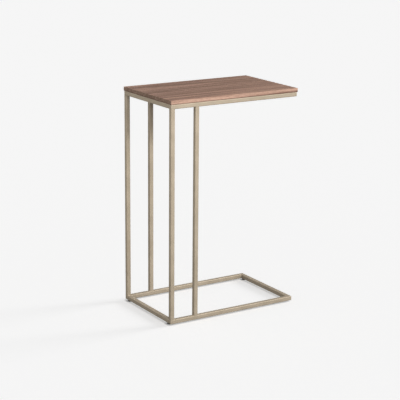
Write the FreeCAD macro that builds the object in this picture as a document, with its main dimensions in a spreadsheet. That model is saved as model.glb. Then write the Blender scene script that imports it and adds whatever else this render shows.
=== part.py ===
"""Sofa side table: a glued wooden top on a welded square-tube frame that stands on four levelling feet.

Millimetres, +Z up. The origin lies on the floor under the middle of the top. +X points to the open end,
where the sofa goes, and +Y points to the back.
"""
import FreeCAD, Part
import math
import os
from types import SimpleNamespace
from typing import NamedTuple

import Sketcher

Vector = FreeCAD.Vector
Rotation = FreeCAD.Rotation

DRIVING_SIZES = {
    # Whole table
    "table_height": 610,
    "frame_width": 398.5,
    "frame_depth": 250.5,
    # Wooden top
    "top_thickness": 11,
    "top_overhang": 1.25,
    "top_corner_round": 2,
    "top_edge_round": 1,
    "top_under_bevel": 1,
    # Square tube of the rails and legs
    "tube_side": 12,
    "tube_wall": 1.2,
    "tube_corner": 2.2,
    "tube_bore_corner": 0.6,
    "open_corner": 3,
    # Legs: where the inner pair stands, and how far each end is coped over the rail's rounded edge
    "inner_leg_inset": 73.5,
    "cope_depth": 1.1,
    "cope_clearance": 0.05,
    # Bent clips that carry the top
    "clip_length": 24,
    "clip_reach": 18,
    "clip_drop": 9,
    "clip_thickness": 2,
    "clip_bend": 1.5,
    "clip_corner": 3,
    "clip_inset": 70,
    "slot_length": 9,
    "slot_width": 4.5,
    "slot_distance": 11,
    # Wood screws
    "screw_diameter": 4,
    "screw_length": 10,
    "screw_point": 2.5,
    "screw_tip_diameter": 0.8,
    "screw_head_diameter": 8,
    "screw_head_height": 2.6,
    "screw_head_round": 1.4,
    "pilot_clearance": 0.05,
    "pilot_spare_depth": 0.5,
    # Levelling feet: place and height
    "foot_height": 3.5,
    "foot_inset": 17,
    # Threaded insert set in the underside of the tube
    "insert_diameter": 7,
    "insert_length": 9,
    "insert_flange_diameter": 9,
    "insert_flange_thickness": 0.5,
    "insert_bulge_diameter": 8.6,
    "insert_bulge_length": 2.5,
    "insert_clearance": 0.05,
    # Stem that screws into the insert
    "stem_diameter": 5,
    "stem_reach": 8,
    "stem_bevel": 0.5,
    "stem_flange_diameter": 8,
    "stem_flange_thickness": 1,
    "socket_across_flats": 2.5,
    "socket_depth": 3,
    "thread_clearance": 0.05,
    # Pad that the stem's flange turns in
    "pad_diameter": 11,
    "pad_bevel": 0.4,
    "pad_floor": 1,
    "pad_key_hole": 3.6,
    "swivel_clearance": 0.2,
    "swivel_play": 0.1,
}

STAVE_NAMES = ("top_stave_front", "top_stave_middle", "top_stave_back")
STEP_FOLDER = "parts"
SHEET_NAME = "Sizes"

# Two lengths closer than this, in millimetres, count as the same when edges are picked
SAME_PLACE = 0.001


class Size:
    """A length that holds its value and the expression that ties it to the sheet."""

    def __init__(self, value, text):
        self.value = value
        self.text = text

    def __add__(self, other):
        other = as_size(other)
        return Size(self.value + other.value, f"({self.text} + {other.text})")

    def __sub__(self, other):
        other = as_size(other)
        return Size(self.value - other.value, f"({self.text} - {other.text})")

    def __mul__(self, other):
        other = as_size(other)
        return Size(self.value * other.value, f"({self.text} * {other.text})")

    def __truediv__(self, other):
        other = as_size(other)
        return Size(self.value / other.value, f"({self.text} / {other.text})")

    def __neg__(self):
        return self * -1

    def root(self):
        """Return the square root."""
        return Size(math.sqrt(self.value), f"sqrt({self.text})")


class Corner(NamedTuple):
    """A corner of an outline. A radius means that an arc leads to it: turn is 1 to the left, -1 to the right.

    A coordinate is a Size, or 0 on an axis.
    """

    x: object
    y: object
    radius: Size = None
    turn: int = 1

    def point(self):
        """Return the corner as a point of the sketch plane."""
        return Vector(as_size(self.x).value, as_size(self.y).value, 0)


class Hole(NamedTuple):
    """A round hole in an outline."""

    x: object
    y: object
    diameter: Size


def as_size(number):
    """Return a Size as it is, and a plain number as a Size that no cell drives."""
    if isinstance(number, Size):
        return number
    return Size(float(number), f"({float(number)})")


def arc_between(start, end, radius, turn):
    """Return the arc of under a half circle from start to end that turns left (1) or right (-1)."""
    chord = end - start
    rise = math.sqrt(max(radius ** 2 - (chord.Length / 2) ** 2, 0))
    left = Vector(-chord.y, chord.x, 0).normalize()
    centre = (start + end) / 2 + left * rise * turn
    first, last = (start, end) if turn > 0 else (end, start)
    angles = [math.atan2(point.y - centre.y, point.x - centre.x) for point in (first, last)]
    return Part.ArcOfCircle(Part.Circle(centre, Vector(0, 0, 1), radius), *angles)


def drive(sketch, constraint, size):
    """Add a constraint and tie its value to the sheet."""
    row = sketch.addConstraint(constraint)
    sketch.setExpression(f"Constraints[{row}]", size.text)


def pin(sketch, geometry, end, corner):
    """Hold one end of a line or arc, or a circle's centre, at a corner's place."""
    for direction, axis, length in (("DistanceX", -2, corner.x), ("DistanceY", -1, corner.y)):
        if isinstance(length, Size):
            drive(sketch, Sketcher.Constraint(direction, -1, 1, geometry, end, length.value), length)
        else:
            sketch.addConstraint(Sketcher.Constraint("PointOnObject", geometry, end, axis))


def draw_outline(sketch, corners):
    """Draw a closed loop through the corners and hold every corner and radius."""
    segments = []
    for start, end in zip([corners[-1], *corners], corners):
        if end.radius is None:
            geometry = Part.LineSegment(start.point(), end.point())
        else:
            geometry = arc_between(start.point(), end.point(), end.radius.value, end.turn)
        forward = end.radius is None or end.turn > 0
        segments.append((sketch.addGeometry(geometry, False), (1, 2) if forward else (2, 1)))
    for index, corner in enumerate(corners):
        geometry, ends = segments[index]
        following, next_ends = segments[(index + 1) % len(segments)]
        sketch.addConstraint(Sketcher.Constraint("Coincident", geometry, ends[1], following, next_ends[0]))
        pin(sketch, geometry, ends[1], corner)
        if corner.radius is not None:
            drive(sketch, Sketcher.Constraint("Radius", geometry, corner.radius.value), corner.radius)


def draw_hole(sketch, hole):
    """Draw one round hole and hold its centre and diameter."""
    radius = hole.diameter.value / 2
    centre = Corner(hole.x, hole.y)
    geometry = sketch.addGeometry(Part.Circle(centre.point(), Vector(0, 0, 1), radius), False)
    pin(sketch, geometry, 3, centre)
    drive(sketch, Sketcher.Constraint("Diameter", geometry, hole.diameter.value), hole.diameter)


class Piece:
    """One solid of the table: a body with its sketches and features."""

    def __init__(self, doc, label):
        self.doc = doc
        self.label = label
        self.body = doc.addObject("PartDesign::Body", label)
        self.body.Label = label
        self.tip = None

    def sketch(self, role, loops):
        """Draw loops, each a list of corners or a hole, on one of the body's own planes."""
        sketch = self.body.newObject("Sketcher::SketchObject", f"{self.label}_sketch")
        plane = next(feature for feature in self.body.Origin.OriginFeatures if feature.Role == role)
        sketch.AttachmentSupport = (plane, [""])
        sketch.MapMode = "FlatFace"
        for loop in loops:
            if isinstance(loop, Hole):
                draw_hole(sketch, loop)
            else:
                draw_outline(sketch, loop)
        return sketch

    def feature(self, kind, profile=None, **settings):
        """Add a feature made from a profile, with sizes tied to the sheet and other settings as given."""
        feature = self.body.newObject(f"PartDesign::{kind}", f"{self.label}_{kind.lower()}")
        if profile is not None:
            feature.Profile = profile
        for name, setting in settings.items():
            if isinstance(setting, Size):
                feature.setExpression(name, setting.text)
            else:
                setattr(feature, name, setting)
        self.doc.recompute()
        self.tip = feature
        return feature

    def pad(self, role, loops, length, side="One side"):
        """Extrude loops off a plane, to one side or evenly to both."""
        return self.feature("Pad", self.sketch(role, loops), Length=length, SideType=side)

    def take(self, kind, sketch, **settings):
        """Cut a sketch out of the solid and make sure that the cut took something away."""
        before = self.tip.Shape.Volume
        self.feature(kind, sketch, **settings)
        if not self.tip.Shape.Volume < before:
            raise RuntimeError(f"{self.label}: a cut took nothing away")

    def cut(self, role, loops, **settings):
        """Cut loops out of the solid."""
        self.take("Pocket", self.sketch(role, loops), **settings)

    def cut_through(self, role, loops):
        """Cut loops right through the solid, both ways from the plane."""
        self.cut(role, loops, Type="ThroughAll", SideType="Symmetric")

    def groove(self, corners, x, z, **settings):
        """Cut a quarter turn of an outline about an axis along Y, drawn from a point (x, z) of that axis."""
        sketch = self.sketch("XY_Plane", [corners])
        sketch.setExpression(".AttachmentOffset.Base.x", x.text)
        sketch.setExpression(".AttachmentOffset.Base.z", z.text)
        self.take("Groove", sketch, ReferenceAxis=(sketch, ["V_Axis"]), Angle=90.0, **settings)

    def turn(self, corners):
        """Revolve an outline in (radius, height) about the Z axis."""
        sketch = self.sketch("XZ_Plane", [corners])
        return self.feature("Revolution", sketch, ReferenceAxis=(sketch, ["V_Axis"]), Angle=360.0)

    def ease(self, kind, chosen, **settings):
        """Round or bevel the edges whose middle and direction the test picks."""
        base = self.tip
        names = [f"Edge{number}" for number, edge in enumerate(base.Shape.Edges, start=1)
                 if chosen(edge.valueAt((edge.FirstParameter + edge.LastParameter) / 2), edge)]
        if not names:
            raise RuntimeError(f"{self.label}: no edge to ease")
        return self.feature(kind, Base=(base, names), **settings)

    def place(self, x, y, z, rotation=Rotation()):
        """Turn the piece and put its own origin at a point of the table."""
        self.body.Placement = FreeCAD.Placement(Vector(), rotation)
        for axis, length in (("x", x), ("y", y), ("z", z)):
            if isinstance(length, Size):
                self.body.setExpression(f".Placement.Base.{axis}", length.text)
        return self


def write_sheet(doc):
    """Write the driving sizes to the sheet and return them by name."""
    sheet = doc.addObject("Spreadsheet::Sheet", SHEET_NAME)
    for row, (name, value) in enumerate(DRIVING_SIZES.items(), start=1):
        sheet.set(f"A{row}", name)
        sheet.set(f"B{row}", str(value))
        sheet.setAlias(f"B{row}", name)
    doc.recompute()
    sizes = {name: Size(float(sheet.get(name)), f"{SHEET_NAME}.{name}") for name in DRIVING_SIZES}
    return SimpleNamespace(**sizes)


def rectangle(low_x, low_y, high_x, high_y):
    """Return the corners of a rectangle."""
    return [Corner(low_x, low_y), Corner(high_x, low_y), Corner(high_x, high_y), Corner(low_x, high_y)]


def rounded_square(side, radius):
    """Return the corners of a square about the origin with rounded corners."""
    edge = side / 2
    straight = edge - radius
    return [
        Corner(straight, -edge), Corner(edge, -straight, radius),
        Corner(edge, straight), Corner(straight, edge, radius),
        Corner(-straight, edge), Corner(-edge, straight, radius),
        Corner(-edge, -straight), Corner(-straight, -edge, radius),
    ]


def slot(centre_y, length, width):
    """Return the corners of a round-ended slot that runs along Y."""
    radius = width / 2
    near = centre_y - length / 2
    far = centre_y + length / 2
    return [
        Corner(radius, near + radius, radius), Corner(radius, far - radius),
        Corner(0, far, radius), Corner(-radius, far - radius, radius),
        Corner(-radius, near + radius), Corner(0, near, radius),
    ]


def hexagon(across_flats):
    """Return the corners of a hexagon about the origin with two flats facing +X and -X."""
    flat = across_flats / 2
    half_flat = across_flats / (2 * math.sqrt(3))
    point = across_flats / math.sqrt(3)
    return [
        Corner(flat, -half_flat), Corner(flat, half_flat), Corner(0, point),
        Corner(-flat, half_flat), Corner(-flat, -half_flat), Corner(0, -point),
    ]


def tube(doc, size, label, length):
    """Return a length of square tube along its own Z axis."""
    piece = Piece(doc, label)
    bore = size.tube_side - size.tube_wall * 2
    section = [rounded_square(size.tube_side, size.tube_corner), rounded_square(bore, size.tube_bore_corner)]
    piece.pad("XY_Plane", section, length)
    return piece


def outside_corner(size):
    """Return the outline of what an open corner loses, drawn from the axis of its round.

    Its inner side is the outer side of the tube's section, so the tube's rounded edges run on round the corner.
    """
    half = size.tube_side / 2
    radius = size.tube_corner
    face = -size.open_corner
    inner = radius - size.open_corner
    beyond = size.tube_side
    return [
        Corner(inner, half),
        Corner(face, half - radius, radius),
        Corner(face, radius - half),
        Corner(inner, -half, radius),
        Corner(inner, -beyond),
        Corner(face * 2, -beyond),
        Corner(face * 2, beyond),
        Corner(inner, beyond),
    ]


def make_rail(doc, size, label, length, open_ends):
    """Return a rail: a tube mitred at both ends, with the outer corners of the mitres ground round.

    The rail's own X axis points into the frame and its own Y axis points up. open_ends tells of its start and
    of its end whether the corner is open, which means that no leg stands on it.
    """
    piece = tube(doc, size, label, length)
    edge = size.tube_side / 2
    radius = size.tube_corner
    wide = size.open_corner
    mitres = [
        [Corner(-edge, 0), Corner(edge, 0), Corner(edge, size.tube_side)],
        [Corner(-edge, length), Corner(edge, length - size.tube_side), Corner(edge, length)],
    ]
    piece.cut_through("XZ_Plane", mitres)
    ground = (
        [Corner(-edge, 0), Corner(radius - edge, 0), Corner(-edge, radius, radius, -1)],
        [Corner(-edge, length), Corner(-edge, length - radius), Corner(radius - edge, length, radius, -1)],
    )
    under_legs = [loop for loop, is_open in zip(ground, open_ends) if not is_open]
    if under_legs:
        piece.cut_through("XZ_Plane", under_legs)
    for station, backwards, is_open in zip((wide, length - wide), (True, False), open_ends):
        if is_open:
            piece.groove(outside_corner(size), wide - edge, station, Reversed=backwards)
    return piece


def make_rails(doc, size):
    """Build the top and base frames, each a mitred rectangle of four rails."""
    half_width = size.frame_width / 2
    half_depth = size.frame_depth / 2
    middle = size.tube_side / 2
    along_front = Rotation(Vector(0, 1, 0), Vector(0, 0, 1), Vector(1, 0, 0), "ZXY")
    sides = (
        ("front", 0, size.frame_width, -half_width, middle - half_depth, (False, True)),
        ("right", 90, size.frame_depth, half_width - middle, -half_depth, (True, True)),
        ("back", 180, size.frame_width, half_width, half_depth - middle, (True, False)),
        ("left", 270, size.frame_depth, middle - half_width, half_depth, (False, False)),
    )
    levels = (("base", size.foot_height + middle), ("top", size.table_height - size.top_thickness - middle))
    rails = []
    for level, height in levels:
        for side, angle, length, x, y, open_ends in sides:
            rail = make_rail(doc, size, f"{level}_{side}_rail", length, open_ends)
            if level == "base" and side in ("left", "right"):
                cut_foot_holes(size, rail, length)
            rails.append(rail.place(x, y, height, Rotation(Vector(0, 0, 1), angle) * along_front))
    return rails


def cut_foot_holes(size, rail, length):
    """Bore the rail's lower wall for the two inserts."""
    diameter = size.insert_diameter + size.insert_clearance * 2
    holes = [Hole(0, size.foot_inset, diameter), Hole(0, length - size.foot_inset, diameter)]
    rail.cut("XZ_Plane", holes, Type="ThroughAll", Reversed=True)


def cope_lip(size, side, end, outward):
    """Return the section of the lip that wraps a leg's end over a rail's rounded edge.

    side is -1 or 1 for the face that the lip continues, end is the height of the leg's end, and outward is
    the direction, -1 or 1, in which the lip runs off that end.
    """
    face = size.tube_side / 2 * side
    radius = size.tube_corner + size.cope_clearance
    rise = size.tube_corner - size.cope_depth
    width_at_end = size.tube_corner - (radius * radius - size.tube_corner * size.tube_corner).root()
    width_at_lip = size.tube_corner - (radius * radius - rise * rise).root()
    lip = size.cope_depth * outward
    lip_height = lip if end == 0 else end + lip
    turn = -side * outward
    return [
        Corner(face, end),
        Corner(face, lip_height),
        Corner(face - width_at_lip * side, lip_height),
        Corner(face - width_at_end * side, end, radius, turn),
    ]


def make_legs(doc, size):
    """Build the four legs, whose ends are coped wherever a face runs on flush into a rail."""
    length = size.table_height - size.foot_height - size.top_thickness - size.tube_side * 2
    middle = size.tube_side / 2
    corner_x = middle - size.frame_width / 2
    inner_x = corner_x + size.inner_leg_inset
    row_y = size.frame_depth / 2 - middle
    lip_length = size.tube_side - size.tube_corner * 2
    ends = ((0, -1), (length, 1))
    legs = []
    for row, row_side in (("front", -1), ("back", 1)):
        corner_faces = (("YZ_Plane", (row_side,)), ("XZ_Plane", (-1,)))
        inner_faces = (("YZ_Plane", (-1, 1)),)
        for place, x, flush_faces in (("corner", corner_x, corner_faces), ("inner", inner_x, inner_faces)):
            leg = tube(doc, size, f"{row}_{place}_leg", length)
            for plane, flush in flush_faces:
                lips = [cope_lip(size, side, end, outward) for side in flush for end, outward in ends]
                leg.pad(plane, lips, lip_length, "Symmetric")
            legs.append(leg.place(x, row_y * row_side, size.foot_height + size.tube_side))
    return legs


def clip_places(size):
    """Return each clip's name, its place on a rail's inner face and the turn that faces it into the frame."""
    along = size.frame_width / 2 - size.clip_inset
    front = size.frame_depth / 2 - size.tube_side
    end = size.frame_width / 2 - size.tube_side
    return (
        ("front_left", -along, -front, 0),
        ("front_right", along, -front, 0),
        ("back_left", -along, front, 180),
        ("back_right", along, front, 180),
        ("left_end", -end, 0, -90),
        ("right_end", end, 0, 90),
    )


def screw_places(size):
    """Return the place of each top screw, at the middle of its clip's slot."""
    along = size.frame_width / 2 - size.clip_inset
    front = size.frame_depth / 2 - size.tube_side - size.slot_distance
    end = size.frame_width / 2 - size.tube_side - size.slot_distance
    return {
        "top_stave_front": ((-along, -front), (along, -front)),
        "top_stave_middle": ((-end, 0), (end, 0)),
        "top_stave_back": ((-along, front), (along, front)),
    }


def make_clips(doc, size):
    """Build the bent clips: the drop is welded to a rail and the slotted leaf carries the top."""
    thickness = size.clip_thickness
    outer_bend = size.clip_bend + thickness
    half_length = size.clip_length / 2
    profile = [
        Corner(0, -size.clip_drop),
        Corner(thickness, -size.clip_drop),
        Corner(thickness, -outer_bend),
        Corner(outer_bend, -thickness, size.clip_bend, -1),
        Corner(size.clip_reach, -thickness),
        Corner(size.clip_reach, 0),
        Corner(outer_bend, 0),
        Corner(0, -outer_bend, outer_bend),
    ]

    def free_corner(point, edge):
        upright = abs(edge.Vertexes[0].Z - edge.Vertexes[-1].Z) > thickness.value - SAME_PLACE
        outside = abs(abs(point.x) - half_length.value) < SAME_PLACE
        return upright and outside and point.y > size.slot_distance.value

    top_underside = size.table_height - size.top_thickness
    clips = []
    for name, x, y, angle in clip_places(size):
        clip = Piece(doc, f"top_clip_{name}")
        clip.pad("YZ_Plane", [profile], size.clip_length, "Symmetric")
        clip.cut("XY_Plane", [slot(size.slot_distance, size.slot_length, size.slot_width)], Type="ThroughAll")
        clip.ease("Fillet", free_corner, Radius=size.clip_corner)
        clips.append(clip.place(x, y, top_underside, Rotation(Vector(0, 0, 1), angle)))
    return clips


def make_screws(doc, size):
    """Build the pan-head screws that come up through the clips, as one group of separate solids."""
    head = size.screw_head_diameter / 2
    shank = size.screw_diameter / 2
    profile = [
        Corner(0, -size.screw_head_height),
        Corner(head - size.screw_head_round, -size.screw_head_height),
        Corner(head, size.screw_head_round - size.screw_head_height, size.screw_head_round),
        Corner(head, 0),
        Corner(shank, 0),
        Corner(shank, size.screw_length - size.screw_point),
        Corner(size.screw_tip_diameter / 2, size.screw_length),
        Corner(0, size.screw_length),
    ]
    seat = size.table_height - size.top_thickness - size.clip_thickness
    screws = []
    for places in screw_places(size).values():
        for x, y in places:
            screw = Piece(doc, f"screw_{len(screws) + 1}")
            screw.turn(profile)
            screws.append(screw.place(x, y, seat).body)
    group = doc.addObject("Part::Compound", "top_screws")
    group.Label = "top_screws"
    group.Links = screws
    return group


def make_staves(doc, size):
    """Build the staves of the top, eased along its outline and bored from below for the screws."""
    half_width = size.frame_width / 2 + size.top_overhang
    half_depth = size.frame_depth / 2 + size.top_overhang
    stave_depth = half_depth * 2 / len(STAVE_NAMES)
    pilot = size.screw_diameter + size.pilot_clearance * 2
    pilot_depth = size.screw_length - size.clip_thickness + size.pilot_spare_depth

    def on_side(point):
        near_end = abs(point.x) > half_width.value - size.top_corner_round.value / 2
        near_side = abs(point.y) > half_depth.value - size.top_corner_round.value / 2
        return near_end, near_side

    def corner_edge(point, edge):
        return all(on_side(point)) and 0 < point.z < size.top_thickness.value

    def upper_edge(point, edge):
        return any(on_side(point)) and point.z > size.top_thickness.value - SAME_PLACE

    def lower_edge(point, edge):
        return any(on_side(point)) and point.z < SAME_PLACE

    staves = []
    for number, name in enumerate(STAVE_NAMES):
        low_y = stave_depth * number - half_depth
        outline = rectangle(-half_width, low_y, half_width, low_y + stave_depth)
        stave = Piece(doc, name)
        stave.pad("XY_Plane", [outline], size.top_thickness)
        if number in (0, len(STAVE_NAMES) - 1):
            stave.ease("Fillet", corner_edge, Radius=size.top_corner_round)
        stave.ease("Fillet", upper_edge, Radius=size.top_edge_round)
        stave.ease("Chamfer", lower_edge, Size=size.top_under_bevel)
        holes = [Hole(x, y, pilot) for x, y in screw_places(size)[name]]
        stave.cut("XY_Plane", holes, Length=pilot_depth, Reversed=True)
        staves.append(stave.place(0, 0, size.table_height - size.top_thickness))
    return staves


def make_insert(doc, size, label):
    """Return a threaded insert: flange under the tube, bulge pulled up against the inside of its wall."""
    bore = size.stem_diameter / 2 + size.thread_clearance
    flange = size.insert_flange_diameter / 2
    neck = size.insert_diameter / 2
    bulge = size.insert_bulge_diameter / 2
    underside = size.foot_height
    wall_top = underside + size.tube_wall
    bulge_top = wall_top + size.insert_bulge_length
    top = underside + size.insert_length
    piece = Piece(doc, label)
    piece.turn([
        Corner(bore, underside - size.insert_flange_thickness),
        Corner(flange, underside - size.insert_flange_thickness),
        Corner(flange, underside),
        Corner(neck, underside),
        Corner(neck, wall_top),
        Corner(bulge, wall_top),
        Corner(bulge, bulge_top),
        Corner(neck, bulge_top),
        Corner(neck, top),
        Corner(bore, top),
    ])
    return piece


def make_stem(doc, size, label):
    """Return a stem: a stud with a flange at its foot and a hexagon socket reached from below."""
    flange = size.stem_flange_diameter / 2
    stud = size.stem_diameter / 2
    flange_top = size.pad_floor + size.stem_flange_thickness
    top = size.foot_height + size.stem_reach
    piece = Piece(doc, label)
    piece.turn([
        Corner(0, size.pad_floor),
        Corner(flange, size.pad_floor),
        Corner(flange, flange_top),
        Corner(stud, flange_top),
        Corner(stud, top - size.stem_bevel),
        Corner(stud - size.stem_bevel, top),
        Corner(0, top),
    ])
    socket_top = size.pad_floor + size.socket_depth
    piece.cut("XY_Plane", [hexagon(size.socket_across_flats)], Length=socket_top, Reversed=True)
    return piece


def make_pad(doc, size, label):
    """Return a pad: a low disc with a hollow for the stem's flange and a key hole through its floor."""
    key_hole = size.pad_key_hole / 2
    rim = size.pad_diameter / 2
    lip = size.stem_diameter / 2 + size.swivel_clearance
    hollow = size.stem_flange_diameter / 2 + size.swivel_clearance
    hollow_top = size.pad_floor + size.stem_flange_thickness + size.swivel_play
    recess = size.insert_flange_diameter / 2 + size.swivel_clearance
    recess_floor = size.foot_height - size.insert_flange_thickness - size.swivel_play
    piece = Piece(doc, label)
    piece.turn([
        Corner(key_hole, 0),
        Corner(rim - size.pad_bevel, 0),
        Corner(rim, size.pad_bevel),
        Corner(rim, size.foot_height),
        Corner(recess, size.foot_height),
        Corner(recess, recess_floor),
        Corner(lip, recess_floor),
        Corner(lip, hollow_top),
        Corner(hollow, hollow_top),
        Corner(hollow, size.pad_floor),
        Corner(key_hole, size.pad_floor),
    ])
    return piece


def make_feet(doc, size):
    """Build the four levelling feet under the short base rails."""
    x = size.frame_width / 2 - size.tube_side / 2
    y = size.frame_depth / 2 - size.foot_inset
    makers = (("insert", make_insert), ("stem", make_stem), ("pad", make_pad))
    feet = []
    for row, row_side in (("front", -1), ("back", 1)):
        for end, end_side in (("left", -1), ("right", 1)):
            for part, make in makers:
                piece = make(doc, size, f"foot_{part}_{row}_{end}")
                feet.append(piece.place(x * end_side, y * row_side, 0))
    return feet


def check(doc, nodes):
    """Stop if any object failed or any node lacks its valid solids."""
    for item in doc.Objects:
        if "Invalid" in item.State or "Error" in item.State:
            raise RuntimeError(f"{item.Label} failed: {item.State}")
    for node in nodes:
        shape = node.Shape
        solids = len(node.Links) if node.TypeId == "Part::Compound" else 1
        if shape.isNull() or not shape.isValid() or len(shape.Solids) != solids:
            raise RuntimeError(f"{node.Label} is not {solids} valid solid(s)")


def main():
    """Build the table and write one STEP file for each node."""
    doc = FreeCAD.newDocument("SofaSideTable")
    size = write_sheet(doc)
    pieces = make_staves(doc, size) + make_rails(doc, size) + make_legs(doc, size)
    pieces += make_clips(doc, size) + make_feet(doc, size)
    nodes = [piece.body for piece in pieces] + [make_screws(doc, size)]
    doc.recompute()
    check(doc, nodes)
    os.makedirs(STEP_FOLDER, exist_ok=True)
    for node in nodes:
        node.Shape.exportStep(os.path.join(STEP_FOLDER, f"{node.Label}.step"))


main()
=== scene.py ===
"""Looks of a sofa side table: a walnut top, a coated tube frame, welds, fixings and levelling feet.

Every length is in metres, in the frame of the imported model: +Z is up, +X points to the open end, where the
sofa goes, and +Y points to the back. The origin lies on the floor under the middle of the top.
"""
import logging
import math
from dataclasses import dataclass, field
from enum import Enum

import bpy
import numpy as np
from mathutils import Matrix, Vector


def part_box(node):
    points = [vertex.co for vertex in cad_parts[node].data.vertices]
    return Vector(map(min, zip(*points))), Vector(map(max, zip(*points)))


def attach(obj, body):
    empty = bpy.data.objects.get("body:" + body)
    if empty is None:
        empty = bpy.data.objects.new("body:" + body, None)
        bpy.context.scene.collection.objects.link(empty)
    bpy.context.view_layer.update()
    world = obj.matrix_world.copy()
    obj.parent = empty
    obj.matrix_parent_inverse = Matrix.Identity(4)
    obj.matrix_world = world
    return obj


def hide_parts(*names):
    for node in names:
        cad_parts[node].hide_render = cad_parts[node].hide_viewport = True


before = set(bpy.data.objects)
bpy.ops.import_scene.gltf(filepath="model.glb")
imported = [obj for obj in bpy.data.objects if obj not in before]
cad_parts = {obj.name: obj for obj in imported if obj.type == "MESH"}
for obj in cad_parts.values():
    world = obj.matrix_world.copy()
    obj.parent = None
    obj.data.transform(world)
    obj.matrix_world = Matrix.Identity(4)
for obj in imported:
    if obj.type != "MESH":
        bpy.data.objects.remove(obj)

LOG = logging.getLogger("sofa_side_table")
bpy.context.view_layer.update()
MM = 0.001
FULL_TURN = 2 * math.pi
SHARP_EDGE = math.radians(35)
NOISE_MEAN = 0.5

Colour = tuple[float, float, float]
Node = bpy.types.Node
Socket = bpy.types.NodeSocket
Object = bpy.types.Object
Material = bpy.types.Material


class Slot(Enum):
    """Material slots of the record."""

    WALNUT = "walnut"
    COAT = "champagne_coat"
    ZINC = "zinc_steel"
    NYLON = "black_nylon"


class Side(Enum):
    """Sides of the table, as directions out of it."""

    FRONT = (0, -1, 0)
    BACK = (0, 1, 0)
    LEFT = (-1, 0, 0)
    RIGHT = (1, 0, 0)
    UP = (0, 0, 1)
    DOWN = (0, 0, -1)

    @property
    def vector(self) -> Vector:
        """The direction as a vector."""
        return Vector(self.value)


# Node trees


class Wiring:
    """Adds nodes to one node tree and joins their sockets."""

    def __init__(self, tree: bpy.types.NodeTree) -> None:
        """Work on an empty tree."""
        self.tree = tree

    def feed(self, socket: Socket, value: object) -> None:
        """Link a socket to an input, or set the input to a plain value.

        Args:
            socket: the input to feed.
            value: the socket that feeds it, or its fixed value.
        """
        if isinstance(value, Socket):
            self.tree.links.new(value, socket)
        else:
            socket.default_value = value

    def node(self, kind: str, feeds: dict | None = None, **settings: object) -> Node:
        """Add one node.

        Args:
            kind: the node's type without the leading "ShaderNode".
            feeds: what feeds its inputs, by name or number.
            settings: the node's own properties.

        Returns:
            The new node.
        """
        made = self.tree.nodes.new(f"ShaderNode{kind}")
        for name, value in settings.items():
            setattr(made, name, value)
        for name, value in (feeds or {}).items():
            self.feed(made.inputs[name], value)
        return made

    def math(self, operation: str, *values: object, clamp: bool = False) -> Socket:
        """Return the result of arithmetic on one to three values."""
        return self.node("Math", dict(enumerate(values)), operation=operation, use_clamp=clamp).outputs[0]

    def vector(self, operation: str, *values: object) -> Socket:
        """Return the vector that an operation on vectors gives."""
        return self.node("VectorMath", dict(enumerate(values)), operation=operation).outputs["Vector"]

    def ramp(self, value: Socket, low: float, high: float, start: float = 0.0, end: float = 1.0) -> Socket:
        """Return a smooth step of a value.

        Args:
            value: what drives the step.
            low: the value where the step begins.
            high: the value where it ends.
            start: the result up to low.
            end: the result from high on.

        Returns:
            The stepped value.
        """
        feeds = {"Value": value, "From Min": low, "From Max": high, "To Min": start, "To Max": end}
        return self.node("MapRange", feeds, interpolation_type="SMOOTHSTEP").outputs["Result"]

    def noise(self, position: Socket, stretch: tuple[float, float, float], detail: float = 2.0) -> Socket:
        """Return cloudy noise from 0 to 1.

        Args:
            position: the point in metres.
            stretch: how many blotches a metre holds along X, Y and Z.
            detail: how many finer layers it has.

        Returns:
            The noise value.
        """
        scaled = self.vector("MULTIPLY", position, stretch)
        feeds = {"Vector": scaled, "Scale": 1.0, "Detail": detail}
        return self.node("TexNoise", feeds).outputs["Fac"]

    def mix(self, share: object, first: object, second: object, blend: str = "MIX") -> Socket:
        """Return two colours mixed.

        Args:
            share: how much of the second colour shows, from 0 to 1.
            first: the colour at 0.
            second: the colour at 1.
            blend: how the second colour goes over the first.

        Returns:
            The mixed colour.
        """
        made = self.node("Mix", data_type="RGBA", blend_type=blend)
        sockets = {item.identifier: item for item in made.inputs}
        for name, value in (("Factor_Float", share), ("A_Color", first), ("B_Color", second)):
            self.feed(sockets[name], (*value, 1.0) if isinstance(value, tuple) else value)
        return next(item for item in made.outputs if item.identifier == "Result_Color")

    def group(self, tree: bpy.types.NodeTree, feeds: dict) -> Node:
        """Place a node group with its own values.

        Args:
            tree: the group's tree.
            feeds: what feeds its inputs, by name.

        Returns:
            The group's node.
        """
        made = self.node("Group", node_tree=tree)
        for name, value in feeds.items():
            self.feed(made.inputs[name], value)
        return made


class EffectGroup:
    """A shader node group in the making: an effect that several materials share."""

    def __init__(self, name: str, inputs: dict[str, tuple[str, object]], outputs: dict[str, str]) -> None:
        """Make the group's tree and its sockets.

        Args:
            name: the group's name.
            inputs: each input's kind and default value.
            outputs: each output's kind.
        """
        self.tree = bpy.data.node_groups.new(name, "ShaderNodeTree")
        for label, (kind, default) in inputs.items():
            socket = self.tree.interface.new_socket(label, in_out="INPUT", socket_type=f"NodeSocket{kind}")
            socket.default_value = default
        for label, kind in outputs.items():
            self.tree.interface.new_socket(label, in_out="OUTPUT", socket_type=f"NodeSocket{kind}")
        self.wiring = Wiring(self.tree)
        self.entry = self.tree.nodes.new("NodeGroupInput").outputs
        self.exit = self.tree.nodes.new("NodeGroupOutput").inputs

    def put_out(self, **values: Socket) -> bpy.types.NodeTree:
        """Link each result to the output of its name.

        Args:
            values: the results, by the names of the outputs.

        Returns:
            The finished tree.
        """
        for label, value in values.items():
            self.wiring.feed(self.exit[label], value)
        return self.tree


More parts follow.
